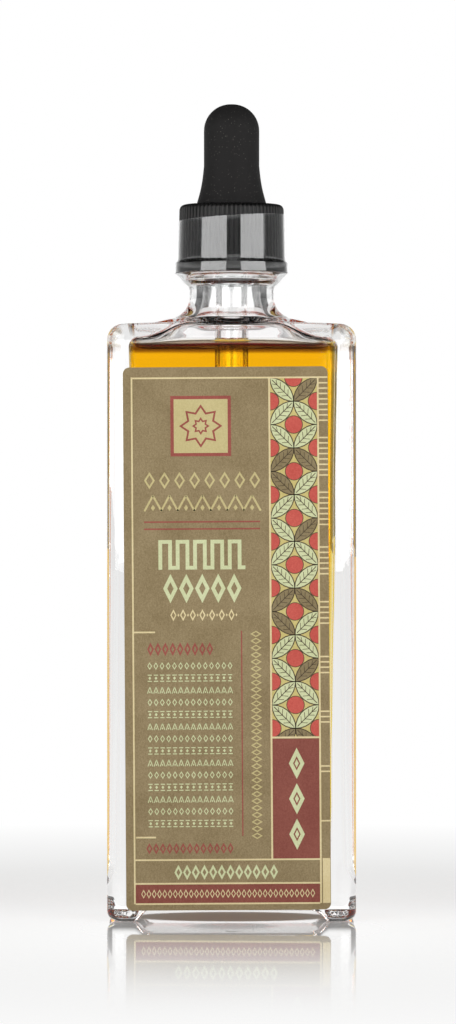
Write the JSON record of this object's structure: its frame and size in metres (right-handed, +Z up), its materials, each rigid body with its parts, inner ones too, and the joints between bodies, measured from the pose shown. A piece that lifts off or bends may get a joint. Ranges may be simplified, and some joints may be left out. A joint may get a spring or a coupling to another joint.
{
  "type": "dropper bottle",
  "caption": "Flat-sided clear glass dropper bottle of liquid, with a paper label, screw cap, rubber bulb and glass pipette.",
  "frame": {"origin": "on the surface that the bottle stands on, under the middle of its body", "axes": "+Z up along the neck's axis, +X to the right across the front, the labelled front faces -Y"},
  "size_m": [0.053, 0.0291, 0.1747],
  "materials": {
    "clear_glass": "polished flint glass",
    "amber_liquid": "clear amber liquid",
    "kraft_paper": "uncoated brown kraft paper, printed",
    "black_plastic": "moulded, satin",
    "clear_film": "clear shrink film, glossy",
    "black_rubber": "matt, moulded"
  },
  "bodies": {
    "bottle": {"glass_bottle": "clear_glass", "bitters_liquid": "amber_liquid", "front_label": "kraft_paper", "shrink_band_tail": "clear_film"},
    "dropper": {"glass_pipette": "clear_glass", "pipette_liquid": "amber_liquid"},
    "cap": {"screw_cap": "black_plastic", "shrink_band": "clear_film"},
    "bulb": {"rubber_bulb": "black_rubber"}
  },
  "joints": [
    {"name": "dropper_lift", "type": "slide", "parent": "bottle", "child": "dropper", "axis": [0, 0, 1], "range_m": [0, 0.112]},
    {"name": "cap_turn", "type": "hinge", "parent": "dropper", "child": "cap", "pos_m": [0, 0, 0.1455], "axis": [0, 0, 1], "range_deg": [0, 360]},
    {"name": "bulb_squeeze", "type": "slide", "parent": "dropper", "child": "bulb", "axis": [0, 0, -1], "range_m": [0, 0.006], "stiffness_N_per_m": 800, "deforming": ["rubber_bulb"]}
  ]
}
